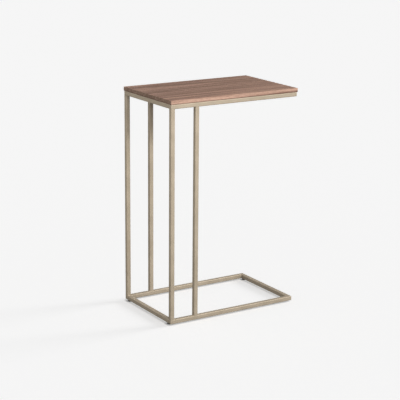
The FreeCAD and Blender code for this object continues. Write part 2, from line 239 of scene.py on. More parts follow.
@dataclass(frozen=True)
class Grain:
    """Noise drawn out along the wood.

    It has a number of blotches to the metre along X, Y and Z, a number of finer layers, and a weight in the
    wood's tone.
    """

    stretch: tuple[float, float, float]
    layers: float
    weight: float = 0.0

    def noise(self, wiring: Wiring, position: Socket) -> Socket:
        """Return the noise at a point, from 0 to 1."""
        return wiring.noise(position, self.stretch, self.layers)


SWAY = Grain((5.0, 22.0, 22.0), 2.0)
SWAY_HEIGHT = 30 * MM
BANDS = Grain((1.6, 26.0, 26.0), 3.0, 1.9)
STREAKS = Grain((3.0, 120.0, 120.0), 3.0, 2.2)
FIBRE = Grain((28.0, 1500.0, 1500.0), 1.0, 0.4)
VESSELS = Grain((120.0, 2600.0, 2600.0), 0.0)
VESSEL_EDGE = (0.62, 0.7)
LATE_WOOD_END = 0.9
LATE_WOOD_SHADE = 0.3
MIDDLE_TONE = 0.5
TONE_LIFT = 0.06
PORES_THIN_OUT = (0.2, 0.9)
LATE_PORES = 0.35


def make_wood_figure() -> bpy.types.NodeTree:
    """Build the figure of sawn wood as a solid pattern, so that faces, edges and end grain agree.

    The growth rings are shells about a slightly tilted heart line along X: the ring phase is the distance
    from that line, bent by slow noise, over the ring width. Streaks and pores are noise drawn out along X.

    Returns:
        The node group, with a tone, a pore mask and a fine fibre value.
    """
    inputs = {
        "Position": ("Vector", (0.0, 0.0, 0.0)),
        "Heart": ("Vector", (0.0, 0.0, -0.08)),
        "Heart Tilt": ("Float", 0.02),
        "Ring Width": ("Float", 0.004),
    }
    group = EffectGroup("wood_figure", inputs, {"Tone": "Float", "Pores": "Float", "Fibre": "Float"})
    wiring, entry = group.wiring, group.entry
    from_heart = wiring.vector("SUBTRACT", entry["Position"], entry["Heart"])
    apart = wiring.node("SeparateXYZ", {0: from_heart}).outputs
    sway = wiring.math("SUBTRACT", SWAY.noise(wiring, from_heart), NOISE_MEAN)
    height = wiring.math("SUBTRACT", apart["Z"], wiring.math("MULTIPLY", apart["X"], entry["Heart Tilt"]))
    bent_height = wiring.math("MULTIPLY_ADD", sway, SWAY_HEIGHT, height)
    across = wiring.math("MULTIPLY", apart["Y"], apart["Y"])
    reach = wiring.math("SQRT", wiring.math("MULTIPLY_ADD", bent_height, bent_height, across))
    phase = wiring.math("FRACT", wiring.math("DIVIDE", reach, entry["Ring Width"]))
    ring_edge = wiring.ramp(phase, LATE_WOOD_END, 1.0, 1.0, 0.0)
    late_wood = wiring.math("MULTIPLY", wiring.math("POWER", phase, 2.0), ring_edge)
    fibre = FIBRE.noise(wiring, from_heart)
    layers = (
        (BANDS, BANDS.noise(wiring, from_heart)),
        (STREAKS, STREAKS.noise(wiring, from_heart)),
        (FIBRE, fibre),
    )
    tone = MIDDLE_TONE
    for grain, noise in layers:
        tone = wiring.math("MULTIPLY_ADD", wiring.math("SUBTRACT", noise, NOISE_MEAN), grain.weight, tone)
    lifted = wiring.math("ADD", tone, TONE_LIFT)
    tone = wiring.math("MULTIPLY_ADD", late_wood, -LATE_WOOD_SHADE, lifted, clamp=True)
    vessels = wiring.ramp(VESSELS.noise(wiring, from_heart), *VESSEL_EDGE)
    pores = wiring.math("MULTIPLY", vessels, wiring.ramp(phase, *PORES_THIN_OUT, 1.0, LATE_PORES))
    return group.put_out(Tone=tone, Pores=pores, Fibre=fibre)


def make_fine_skin() -> bpy.types.NodeTree:
    """Build the skin of a coated, plated or moulded surface: slow mottling and fine grain.

    Both are cloudy noise. The mottle is a few blotches to the decimetre, and the grain many to the
    millimetre.

    Returns:
        The node group, with a mottle and a grain value, each about 0.5 on average.
    """
    inputs = {
        "Position": ("Vector", (0.0, 0.0, 0.0)),
        "Mottle Scale": ("Float", 40.0),
        "Grain Scale": ("Float", 1500.0),
    }
    group = EffectGroup("fine_skin", inputs, {"Mottle": "Float", "Grain": "Float"})
    wiring, entry = group.wiring, group.entry
    values = {}
    for label, detail in (("Mottle", 3.0), ("Grain", 1.0)):
        feeds = {"Vector": entry["Position"], "Scale": entry[f"{label} Scale"], "Detail": detail}
        values[label] = wiring.node("TexNoise", feeds).outputs["Fac"]
    return group.put_out(**values)


@dataclass(frozen=True)
class Effects:
    """The shared node groups."""

    wood_figure: bpy.types.NodeTree = field(default_factory=make_wood_figure)
    fine_skin: bpy.types.NodeTree = field(default_factory=make_fine_skin)


# Finishes


class Finish:
    """A surface finish that can be made into a material."""

    name: str
    slot: Slot

    def start(self) -> tuple[Material, Wiring, Node]:
        """Start a material.

        Returns:
            The new material, its wiring and its surface shader.
        """
        material = bpy.data.materials.new(self.name)
        material.use_nodes = True
        wiring = Wiring(material.node_tree)
        shader = material.node_tree.nodes["Principled BSDF"]
        return material, wiring, shader

    def material(self, effects: Effects) -> Material:
        """Return the finish as a material.

        Args:
            effects: the shared node groups.

        Returns:
            The material.
        """
        raise NotImplementedError


@dataclass(frozen=True)
class WalnutFinish(Finish):
    """Oiled walnut of one stave, cut from its own place in the log."""

    name: str
    heart: tuple[float, float, float]
    heart_tilt: float
    ring_width: float
    dark: Colour
    light: Colour
    joint_middle: float
    joint_half_width: float
    underside: float
    slot: Slot = Slot.WALNUT
    pore_shade: Colour = (0.45, 0.4, 0.38)
    end_shade: Colour = (0.86, 0.97, 1.01)
    end_calm: float = 0.5
    joint_line: float = 0.25 * MM
    joint_shade: Colour = (0.6, 0.56, 0.54)
    pore_depth: float = 0.06 * MM
    # Painted shade in the groove between the top and the frame: how high up the sides it reaches, and how
    # dark it makes them.
    painted_gap_band: float = 3.2 * MM
    painted_gap_shade: Colour = (0.5, 0.5, 0.5)
    specular: float = 0.01
    edge_light: Colour = (1.19, 1.24, 1.29)
    facing: tuple[float, float] = (0.4, 0.9)
    roughness: float = 0.42
    fibre_roughness: float = 0.12
    pore_roughness: float = 0.15
    fibre_height: float = 0.3
    relief: float = 0.5

    def material(self, effects: Effects) -> Material:
        """Return the stave's wood: figure, pores, edges, end grain, painted shade along the lower edge where
        the top meets the frame, and glue hairlines.

        Args:
            effects: the shared node groups.

        Returns:
            The material.
        """
        material, wiring, shader = self.start()
        place = wiring.node("TexCoord").outputs
        figure = wiring.group(effects.wood_figure, {
            "Position": place["Object"],
            "Heart": self.heart,
            "Heart Tilt": self.heart_tilt,
            "Ring Width": self.ring_width,
        }).outputs
        normal = wiring.node("SeparateXYZ", {0: place["Normal"]}).outputs
        end_grain = wiring.ramp(wiring.math("ABSOLUTE", normal["X"]), *self.facing)
        contrast = wiring.math("MULTIPLY_ADD", end_grain, -self.end_calm, 1.0)
        off_middle_tone = wiring.math("SUBTRACT", figure["Tone"], MIDDLE_TONE)
        tone = wiring.math("MULTIPLY_ADD", off_middle_tone, contrast, MIDDLE_TONE)
        colour = wiring.mix(tone, self.dark, self.light)
        colour = wiring.mix(figure["Pores"], colour, self.pore_shade, "MULTIPLY")
        colour = wiring.mix(end_grain, colour, self.end_shade, "MULTIPLY")
        long_edge = wiring.ramp(wiring.math("ABSOLUTE", normal["Y"]), *self.facing)
        colour = wiring.mix(long_edge, colour, self.edge_light, "MULTIPLY")
        point = wiring.node("SeparateXYZ", {0: place["Object"]}).outputs
        # Painted shade: the sides are darkened towards the underside, standing in for the shade in the
        # groove between the top and the frame below.
        low_down = wiring.ramp(point["Z"], self.underside, self.underside + self.painted_gap_band, 1.0, 0.0)
        painted_gap_band = wiring.math("MULTIPLY", low_down, wiring.math("MAXIMUM", end_grain, long_edge))
        colour = wiring.mix(painted_gap_band, colour, self.painted_gap_shade, "MULTIPLY")
        off_middle = wiring.math("ABSOLUTE", wiring.math("SUBTRACT", point["Y"], self.joint_middle))
        to_joint = wiring.math("ABSOLUTE", wiring.math("SUBTRACT", off_middle, self.joint_half_width))
        hairline = wiring.ramp(to_joint, 0.0, self.joint_line, 1.0, 0.0)
        hairline = wiring.math("MULTIPLY", hairline, wiring.math("SUBTRACT", 1.0, long_edge))
        colour = wiring.mix(hairline, colour, self.joint_shade, "MULTIPLY")
        wiring.feed(shader.inputs["Base Color"], colour)
        roughness = wiring.math("MULTIPLY_ADD", figure["Fibre"], self.fibre_roughness, self.roughness)
        roughness = wiring.math("MULTIPLY_ADD", figure["Pores"], self.pore_roughness, roughness)
        wiring.feed(shader.inputs["Roughness"], roughness)
        shader.inputs["Specular IOR Level"].default_value = self.specular
        fibre = wiring.math("MULTIPLY", figure["Fibre"], self.fibre_height)
        height = wiring.math("MULTIPLY_ADD", figure["Pores"], -1.0, fibre)
        bump = wiring.node("Bump", {"Strength": self.relief, "Distance": self.pore_depth, "Height": height})
        wiring.feed(shader.inputs["Normal"], bump.outputs["Normal"])
        return material


@dataclass(frozen=True)
class SkinFinish(Finish):
    """A coated, plated or moulded surface: one colour, gently mottled, with a fine grain.

    Its upper rims, the rounded edges that lean between level and upright, can carry a painted highlight.
    """

    name: str
    slot: Slot
    low: Colour
    high: Colour
    metallic: float
    roughness: tuple[float, float]
    mottle_scale: float
    grain_scale: float
    grain_height: float
    flake: float = 0.0
    specular: float = 0.5
    # Painted highlight on the upper rims: how much lighter they are drawn, and the upward lean where it
    # rises and where it fades.
    painted_rim_highlight: float = 1.0
    rim_rise: tuple[float, float] = (0.15, 0.5)
    rim_fall: tuple[float, float] = (0.75, 0.95)
    mottle_range: tuple[float, float] = (0.3, 0.7)
    relief: float = 0.4

    def material(self, effects: Effects) -> Material:
        """Return the surface, with its tone and gloss led by the mottle, its relief by the grain, and a
        painted highlight on its upper rims when one is set.

        Args:
            effects: the shared node groups.

        Returns:
            The material.
        """
        material, wiring, shader = self.start()
        place = wiring.node("TexCoord").outputs
        skin = wiring.group(effects.fine_skin, {
            "Position": place["Object"],
            "Mottle Scale": self.mottle_scale,
            "Grain Scale": self.grain_scale,
        }).outputs
        tone = wiring.ramp(skin["Mottle"], *self.mottle_range)
        if self.flake:
            flakes = wiring.math("SUBTRACT", skin["Grain"], NOISE_MEAN)
            tone = wiring.math("MULTIPLY_ADD", flakes, self.flake, tone, clamp=True)
        colour = wiring.mix(tone, self.low, self.high)
        # Painted highlight: the colour is made lighter on rounded edges that lean upwards, standing in for
        # light catching them.
        if self.painted_rim_highlight != 1.0:
            upward = wiring.node("SeparateXYZ", {0: place["Normal"]}).outputs["Z"]
            rise = wiring.ramp(upward, *self.rim_rise)
            painted_highlight_mask = wiring.math("MULTIPLY", rise, wiring.ramp(upward, *self.rim_fall, 1.0, 0.0))
            colour = wiring.mix(painted_highlight_mask, colour, (self.painted_rim_highlight,) * 3, "MULTIPLY")
        wiring.feed(shader.inputs["Base Color"], colour)
        roughness = wiring.ramp(skin["Mottle"], *self.mottle_range, *self.roughness)
        wiring.feed(shader.inputs["Roughness"], roughness)
        shader.inputs["Metallic"].default_value = self.metallic
        shader.inputs["Specular IOR Level"].default_value = self.specular
        feeds = {"Strength": self.relief, "Distance": self.grain_height, "Height": skin["Grain"]}
        bump = wiring.node("Bump", feeds)
        wiring.feed(shader.inputs["Normal"], bump.outputs["Normal"])
        return material


CHAMPAGNE_COAT = SkinFinish(
    name="champagne_coat",
    slot=Slot.COAT,
    low=(0.33, 0.275, 0.205),
    high=(0.37, 0.31, 0.235),
    metallic=0.2,
    roughness=(0.42, 0.5),
    mottle_scale=30.0,
    grain_scale=1800.0,
    grain_height=0.03 * MM,
    flake=0.5,
    specular=0.01,
    # Painted highlight: the upper rims of the coat are drawn 1.3 times lighter.
    painted_rim_highlight=1.3,
)
ZINC_PLATE = SkinFinish(
    name="zinc_plate",
    slot=Slot.ZINC,
    low=(0.5, 0.5, 0.47),
    high=(0.66, 0.66, 0.63),
    metallic=1.0,
    roughness=(0.28, 0.42),
    mottle_scale=300.0,
    grain_scale=4000.0,
    grain_height=0.01 * MM,
)
BLACK_NYLON = SkinFinish(
    name="black_nylon",
    slot=Slot.NYLON,
    low=(0.012, 0.012, 0.013),
    high=(0.022, 0.022, 0.023),
    metallic=0.0,
    roughness=(0.5, 0.62),
    mottle_scale=200.0,
    grain_scale=5000.0,
    grain_height=0.04 * MM,
)


# Meshes


@dataclass
class Surface:
    """A mesh in the making: points, and faces of three or four corners."""

    points: np.ndarray
    faces: list[tuple[int, ...]]

    @classmethod
    def turned(cls, radius: np.ndarray, height: np.ndarray) -> "Surface":
        """Return a surface around the Z axis that closes at a pole below and a pole above.

        The point at row i and column j lies at angle 2 pi j / columns, at radius[i, j] from the axis and at
        height[i, j]. The poles lie on the axis, at the mean height of the first and last rows.

        Args:
            radius: the distance from the axis, one row for each step along the profile.
            height: the height, in the same rows.

        Returns:
            The closed surface.
        """
        rows, columns = radius.shape
        angle = np.arange(columns) * FULL_TURN / columns
        ring = np.stack([radius * np.cos(angle), radius * np.sin(angle), height], axis=-1).reshape(-1, 3)
        poles = np.array([[0, 0, height[0].mean()], [0, 0, height[-1].mean()]])
        index = np.arange(rows * columns).reshape(rows, columns)
        following = np.roll(index, -1, axis=1)
        quads = np.stack([index[:-1], following[:-1], following[1:], index[1:]], axis=-1).reshape(-1, 4)
        first, last = len(ring), len(ring) + 1
        low = np.stack([np.full(columns, first), following[0], index[0]], axis=-1)
        high = np.stack([np.full(columns, last), index[-1], following[-1]], axis=-1)
        fans = np.vstack([low, high])
        return cls(np.vstack([ring, poles]), [*map(tuple, quads.tolist()), *map(tuple, fans.tolist())])

    @classmethod
    def swept(cls, sections: np.ndarray) -> "Surface":
        """Return a closed tube through closed sections, with a flat lid at each end.

        Args:
            sections: points of shape (sections, points, 3). Each section runs the same way round.

        Returns:
            The closed surface.
        """
        rows, columns, _ = sections.shape
        index = np.arange(rows * columns).reshape(rows, columns)
        following = np.roll(index, -1, axis=1)
        quads = np.stack([index[:-1], following[:-1], following[1:], index[1:]], axis=-1).reshape(-1, 4)
        lids = [tuple(index[0, ::-1].tolist()), tuple(index[-1].tolist())]
        return cls(sections.reshape(-1, 3), [*map(tuple, quads.tolist()), *lids])

    @classmethod
    def joined(cls, surfaces: list["Surface"]) -> "Surface":
        """Return several surfaces as one mesh.

        Args:
            surfaces: the surfaces, which stay apart in it.

        Returns:
            The mesh of them all.
        """
        points, faces, count = [], [], 0
        for surface in surfaces:
            points.append(surface.points)
            faces += [tuple(corner + count for corner in face) for face in surface.faces]
            count += len(surface.points)
        return cls(np.vstack(points), faces)

    def moved(self, offset: Vector) -> "Surface":
        """Return the surface shifted by an offset."""
        return Surface(self.points + np.array(offset), self.faces)

    def to_piece(self, name: str, body: str, material: Material, slot: Slot) -> Object:
        """Make the surface a piece that rides on a body.

        Args:
            name: the piece's name.
            body: the body that it moves with.
            material: its finish.
            slot: the record's slot of that finish; not used.

        Returns:
            The new object.
        """
        mesh = bpy.data.meshes.new(name)
        mesh.from_pydata(self.points.tolist(), [], self.faces)
        mesh.validate()
        mesh.polygons.foreach_set("use_smooth", np.ones(len(mesh.polygons), bool))
        mesh.set_sharp_from_angle(angle=SHARP_EDGE)
        mesh.materials.append(material)
        piece = bpy.data.objects.new(name, mesh)
        bpy.context.scene.collection.objects.link(piece)
        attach(piece, body)
        LOG.info("piece %s rides on %s", name, body)
        return piece


def dress(node: str, material: Material) -> None:
    """Give a node of the frame its finish.

    Args:
        node: the node's name.
        material: the finish.
    """
    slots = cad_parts[node].data.materials
    slots.clear()
    slots.append(material)
    LOG.info("node %s wears %s", node, material.name)


THREAD_PEAK = 1.4
THREAD_FLANK = 3.2


def thread_ridge(turns: np.ndarray) -> np.ndarray:
    """Return a thread's height from 0 at the root to 1 at the crest.

    Over one turn the ridge rises along a straight flank, holds a narrow crest, falls along a like flank and
    holds a wider root. It is a peak with straight flanks, cut off at 0 and 1.

    Args:
        turns: the place along the helix, in turns.

    Returns:
        The height at each place.
    """
    place = turns % 1.0
    return np.clip(THREAD_PEAK - THREAD_FLANK * np.abs(place - 0.5), 0.0, 1.0)


# Sub-assemblies


@dataclass
class WoodTop:
    """The glued top: three staves that differ in figure and tone."""

    light: Colour = (0.4, 0.248, 0.18)
    dark: Colour = (0.15, 0.081, 0.056)

    def finishes(self) -> list[WalnutFinish]:
        """Choose each stave's own wood: its tone, and its heart line's place, tilt and ring width in mm.

        Returns:
            The finishes, from the front to the back.
        """
        staves = (
            ("front", 0.98, (0.6, -0.012, -0.07), 0.030, 4.2),
            ("middle", 0.93, (-0.19, 0.02, -0.11), -0.022, 3.6),
            ("back", 1.0, (0.82, -0.03, -0.085), 0.018, 4.6),
        )
        made = []
        for name, tone, heart, tilt, ring in staves:
            low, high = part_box(f"top_stave_{name}")
            middle = (low.y + high.y) / 2
            made.append(WalnutFinish(
                name=f"walnut_{name}",
                heart=(heart[0], middle + heart[1], high.z + heart[2]),
                heart_tilt=tilt,
                ring_width=ring * MM,
                dark=tuple(part * tone for part in self.dark),
                light=tuple(part * tone for part in self.light),
                joint_middle=middle,
                joint_half_width=(high.y - low.y) / 2,
                underside=low.z,
            ))
        return made

    def build(self, effects: Effects) -> None:
        """Dress the staves."""
        for finish in self.finishes():
            dress(finish.name.replace("walnut", "top_stave"), finish.material(effects))


@dataclass
class Seam:
    """A weld in the corner between two faces.

    The bead's section is a corner, a leg along each face and a face that bulges between them. Its size
    swells from nothing at both ends as the root of one minus the fourth power of the place along it, and
    ripples by a cosine.
    """

    start: Vector
    end: Vector
    along_first: Vector
    along_second: Vector
    leg: float = 1.5 * MM
    sink: float = 0.05 * MM
    bulge: float = 0.12
    ripple: float = 0.05
    ripple_pitch: float = 0.9 * MM
    least_size: float = 0.02
    steps: int = 40
    face_points: int = 7

    def surface(self) -> Surface:
        """Make the bead.

        Returns:
            Its closed surface.
        """
        place = np.linspace(-1.0, 1.0, self.steps)
        length = (self.end - self.start).length
        swell = np.sqrt(np.clip(1.0 - place ** 4, 0.0, 1.0))
        ripples = 1.0 + self.ripple * np.cos(FULL_TURN * (place + 1.0) * length / 2 / self.ripple_pitch)
        size = self.leg * np.maximum(swell * ripples, self.least_size)
        share = np.linspace(0.0, 1.0, self.face_points)
        arch = 1.0 + self.bulge * np.sin(np.pi * share)
        first = np.concatenate([[0.0], (1.0 - share) * arch])
        second = np.concatenate([[0.0], share * arch])
        inward = np.array(self.along_first + self.along_second) * self.sink
        path = np.array(self.start) + np.outer((place + 1.0) / 2, np.array(self.end - self.start)) - inward
        across = first[:, None] * np.array(self.along_first) + second[:, None] * np.array(self.along_second)
        sections = path[:, None, :] + size[:, None, None] * across[None, :, :]
        turn = self.along_first.cross(self.along_second).dot(self.end - self.start)
        return Surface.swept(sections if turn > 0 else sections[::-1])


@dataclass
class TubeFrame:
    """The welded frame: two mitred rectangles of square tube joined by four legs."""

    flat_share: float = 0.63
    corner_radius: float = 2.2 * MM
    plug_radius: float = 2.22 * MM
    plug_half_height: float = 0.9 * MM
    plug_depth: float = 0.6 * MM
    plug_end: float = 0.98
    plug_rows: int = 9
    plug_columns: int = 24
    rails: tuple[str, ...] = ("front", "back", "left", "right")
    legs: tuple[str, ...] = ("front_corner_leg", "front_inner_leg", "back_corner_leg", "back_inner_leg")

    def leg_seams(self, leg: str) -> list[Seam]:
        """Return the welds round both ends of a leg, on the faces that stand back from a rail's edge.

        Args:
            leg: the leg's node.

        Returns:
            The welds.
        """
        low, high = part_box(leg)
        floor_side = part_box("base_front_rail")[1].z
        top_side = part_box("top_front_rail")[0].z
        middle = (low + high) / 2
        inward = Side.BACK if middle.y < 0 else Side.FRONT
        sides = (Side.RIGHT, inward) if "corner" in leg else (Side.RIGHT, Side.LEFT)
        half = (high - low) / 2 * self.flat_share
        seams = []
        for height, away in ((floor_side, Side.UP), (top_side, Side.DOWN)):
            for side in sides:
                face = Vector((middle.x, middle.y, height))
                face += Vector(a * b for a, b in zip(side.vector, (high - low) / 2))
                run = Vector((0, half.y, 0)) if side.vector.x else Vector((half.x, 0, 0))
                seams.append(Seam(face - run, face + run, side.vector, away.vector))
        return seams

    def corner_plugs(self, leg: str) -> list[Surface]:
        """Return the weld that fills the notch at the outer corner of both ends of a corner leg.

        A plug is a flat disc with rounded sides: its radius falls off as the fourth root of one minus the
        fourth power of the place along its height.

        Args:
            leg: the leg's node.

        Returns:
            The plugs, or none for a leg that stands along a rail.
        """
        if "corner" not in leg:
            return []
        low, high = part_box(leg)
        place = np.linspace(-self.plug_end, self.plug_end, self.plug_rows)[:, None]
        place = place * np.ones((1, self.plug_columns))
        disc = Surface.turned(self.plug_radius * (1.0 - place ** 4) ** 0.25, place * self.plug_half_height)
        y = low.y + self.corner_radius if low.y < 0 else high.y - self.corner_radius
        heights = (
            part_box("base_front_rail")[1].z - self.plug_depth,
            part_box("top_front_rail")[0].z + self.plug_depth,
        )
        return [disc.moved(Vector((low.x + self.corner_radius, y, height))) for height in heights]

    def mitre_seams(self, level: str) -> list[Seam]:
        """Return the welds up the four inner corners of a mitred rectangle.

        Args:
            level: "base" or "top".

        Returns:
            The welds.
        """
        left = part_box(f"{level}_left_rail")[1].x
        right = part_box(f"{level}_right_rail")[0].x
        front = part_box(f"{level}_front_rail")[1].y
        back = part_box(f"{level}_back_rail")[0].y
        low, high = (corner.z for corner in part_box(f"{level}_front_rail"))
        run = Vector((0, 0, (high - low) / 2 * self.flat_share))
        seams = []
        for x, along_x in ((left, Side.RIGHT), (right, Side.LEFT)):
            for y, along_y in ((front, Side.BACK), (back, Side.FRONT)):
                corner = Vector((x, y, (low + high) / 2))
                seams.append(Seam(corner - run, corner + run, along_x.vector, along_y.vector))
        return seams

    def build(self, effects: Effects) -> Material:
        """Dress the tubes and lay the welds.

        Args:
            effects: the shared node groups.

        Returns:
            The coat's material, which the clips wear too.
        """
        coat = CHAMPAGNE_COAT.material(effects)
        for level in ("base", "top"):
            for side in self.rails:
                dress(f"{level}_{side}_rail", coat)
            welds = Surface.joined([seam.surface() for seam in self.mitre_seams(level)])
            welds.to_piece(f"{level}_mitre_welds", "table", coat, CHAMPAGNE_COAT.slot)
        for leg in self.legs:
            dress(leg, coat)
            beads = [seam.surface() for seam in self.leg_seams(leg)]
            welds = Surface.joined(beads + self.corner_plugs(leg))
            welds.to_piece(f"{leg}_welds", "table", coat, CHAMPAGNE_COAT.slot)
        return coat


@dataclass
class TopFixings:
    """The clips under the top, their tack welds and the screws through them."""

    clips: tuple[str, ...] = (
        "front_left", "front_right", "back_left", "back_right", "left_end", "right_end",
    )
    plate: float = 2 * MM
    slot_distance: float = 11 * MM
    tack_length: float = 4 * MM
    tack_leg: float = 1.1 * MM
    head_radius: float = 4 * MM
    head_height: float = 2.6 * MM
    head_round: float = 1.4 * MM
    shank_radius: float = 2 * MM
    core_radius: float = 1.45 * MM
    point: float = 2.5 * MM
    thread_pitch: float = 1.6 * MM
    recess_reach: float = 2.3 * MM
    recess_width: float = 1.1 * MM
    recess_depth: float = 1.5 * MM
    recess_wall: float = 0.3
    recess_run_out: float = 0.35
    tip_share: float = 0.08
    face_start: float = 0.04
    face_rows: int = 22
    edge_rows: int = 7
    shank_rows: int = 90
    columns: int = 64

    def inward(self, clip: str) -> Side:
        """Return the direction from a clip's rail into the frame."""
        sides = {"front": Side.BACK, "back": Side.FRONT, "left": Side.RIGHT, "right": Side.LEFT}
        return sides[clip.split("_")[0]]

    def rail_point(self, clip: str) -> Vector:
        """Find the middle of a clip's edge against its rail, at the height of its top.

        Args:
            clip: the clip's name.

        Returns:
            The point.
        """
        low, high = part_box(f"top_clip_{clip}")
        middle = (low + high) / 2
        half = (high - low) / 2
        out = -self.inward(clip).vector
        return Vector((middle.x + out.x * half.x, middle.y + out.y * half.y, high.z))

    def tacks(self, clip: str) -> list[Seam]:
        """Return the two tack welds that hold a clip's drop to its rail.

        Args:
            clip: the clip's name.

        Returns:
            The welds, one up each side of the drop.
        """
        low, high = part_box(f"top_clip_{clip}")
        inward = self.inward(clip).vector
        along = Vector((inward.y, -inward.x, 0))
        half_length = abs((high - low).dot(along)) / 2
        foot = self.rail_point(clip)
        foot.z = low.z + self.plate / 2
        run = Vector((0, 0, self.tack_length))
        seams = []
        for way in (along, -along):
            start = foot + way * half_length
            seams.append(Seam(start, start + run, way, inward, leg=self.tack_leg, steps=20))
        return seams

    def screw(self, length: float) -> Surface:
        """Return a pan-head screw with its seat at height 0, its head below and its point above.

        The profile runs from the middle of the head, round its edge, under it and up the shank to the
        point. The head's face sinks by the recess, a cross of two bars with sloping walls, and the shank
        swells by the thread's ridge, whose place is height over pitch less the angle in turns.

        Args:
            length: the shank's length.

        Returns:
            The screw.
        """
        angle = np.arange(self.columns) * FULL_TURN / self.columns
        flat_radius = self.head_radius - self.head_round
        face_radius = np.linspace(self.face_start, 1.0, self.face_rows)[:, None] * flat_radius
        radius = np.repeat(face_radius, self.columns, axis=1)
        x, y = np.abs(radius * np.cos(angle)), np.abs(radius * np.sin(angle))
        off_bar = np.minimum(x, y) - self.recess_width / 2
        inside = np.clip(-off_bar / (self.recess_wall * self.recess_width), 0.0, 1.0)
        run_out = self.recess_run_out * self.recess_reach
        inside *= np.clip((self.recess_reach - radius) / run_out, 0.0, 1.0)
        rows_radius = [radius]
        rows_height = [inside * self.recess_depth - self.head_height]
        bend = np.linspace(0.0, math.pi / 2, self.edge_rows)[1:, None]
        around = np.ones((1, self.columns))
        rows_radius.append((flat_radius + self.head_round * np.sin(bend)) * around)
        rows_height.append((self.head_round - self.head_height - self.head_round * np.cos(bend)) * around)
        rows_radius.append(np.array([[self.head_radius], [self.shank_radius]]) * around)
        rows_height.append(np.zeros((2, self.columns)))
        rise = np.linspace(0.0, length, self.shank_rows)[1:, None] * around
        ridge = thread_ridge(rise / self.thread_pitch - angle / FULL_TURN)
        taper = np.clip((length - rise) / self.point, self.tip_share, 1.0)
        rows_radius.append((self.core_radius + (self.shank_radius - self.core_radius) * ridge) * taper)
        rows_height.append(rise)
        return Surface.turned(np.vstack(rows_radius), np.vstack(rows_height))

    def build(self, effects: Effects, coat: Material) -> None:
        """Dress the clips, tack them to their rails and put in the screws.

        Args:
            effects: the shared node groups.
            coat: the frame's coat.
        """
        zinc = ZINC_PLATE.material(effects)
        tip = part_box("top_screws")[1].z
        seams, screws = [], []
        for clip in self.clips:
            dress(f"top_clip_{clip}", coat)
            seams += self.tacks(clip)
            seat = self.rail_point(clip) + self.inward(clip).vector * self.slot_distance
            seat.z -= self.plate
            screws.append(self.screw(tip - seat.z).moved(seat))
        welds = Surface.joined([seam.surface() for seam in seams])
        welds.to_piece("clip_tack_welds", "table", coat, CHAMPAGNE_COAT.slot)
        piece = Surface.joined(screws).to_piece("pan_head_screws", "table", zinc, ZINC_PLATE.slot)
        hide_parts("top_screws")


@dataclass
class LevellingFeet:
    """The four feet: an insert in the tube, a threaded stem and a pad that the stem's flange turns in."""

    corners: tuple[str, ...] = ("front_left", "front_right", "back_left", "back_right")
    stud_radius: float = 2.5 * MM
    root_radius: float = 2.05 * MM
    thread_pitch: float = 0.8 * MM
    flange_radius: float = 4 * MM
    flange_thickness: float = 1 * MM
    socket_across_flats: float = 2.5 * MM
    socket_depth: float = 3 * MM
    bevel: float = 0.5 * MM
    columns: int = 60
    rows_per_turn: int = 10

    def stem(self, low: float, high: float) -> Surface:
        """Return a stem: a socketed flange and a threaded stud.

        The profile runs from the socket's floor, down its six-sided wall, across the flange's underside and
        round it, and up the stud to its bevelled top. A six-sided wall lies at half its width over the
        cosine of the angle from the middle of its flat. The stud swells by the thread's ridge.

        Args:
            low: the height of the flange's underside.
            high: the height of the stud's top.

        Returns:
            The stem about the Z axis.
        """
        angle = np.arange(self.columns) * FULL_TURN / self.columns
        sixth = FULL_TURN / 6
        off_flat = (angle + sixth / 2) % sixth - sixth / 2
        socket = self.socket_across_flats / 2 / np.cos(off_flat)
        round_one = np.ones(self.columns)
        flange_top = low + self.flange_thickness
        profile = [
            (socket, low + self.socket_depth),
            (socket, low),
            (self.flange_radius * round_one, low),
            (self.flange_radius * round_one, flange_top),
            (self.stud_radius * round_one, flange_top),
        ]
        rows_radius = [np.array([radius for radius, _ in profile])]
        rows_height = [np.array([height * round_one for _, height in profile])]
        turns = (high - flange_top) / self.thread_pitch
        rise = np.linspace(flange_top, high, int(turns * self.rows_per_turn))[1:, None] * round_one
        ridge = thread_ridge(rise / self.thread_pitch - angle / FULL_TURN)
        full = self.root_radius + (self.stud_radius - self.root_radius) * ridge
        rows_radius.append(np.minimum(full, self.stud_radius - self.bevel + (high - rise)))
        rows_height.append(rise)
        return Surface.turned(np.vstack(rows_radius), np.vstack(rows_height))

    def build(self, effects: Effects) -> None:
        """Dress the inserts and pads and put in threaded stems.

        Args:
            effects: the shared node groups.
        """
        zinc = ZINC_PLATE.material(effects)
        nylon = BLACK_NYLON.material(effects)
        for corner in self.corners:
            dress(f"foot_insert_{corner}", zinc)
            dress(f"foot_pad_{corner}", nylon)
            node = f"foot_stem_{corner}"
            low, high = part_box(node)
            axis = (low + high) / 2
            stem = self.stem(low.z, high.z).moved(Vector((axis.x, axis.y, 0)))
            piece = stem.to_piece(f"threaded_stem_{corner}", f"stem_{corner}", zinc, ZINC_PLATE.slot)
            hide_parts(node)


# Stage


class LampKind(Enum):
    """Kinds of studio lamp, by Blender's names for them."""

    BOX = "AREA"
    FAR = "SUN"


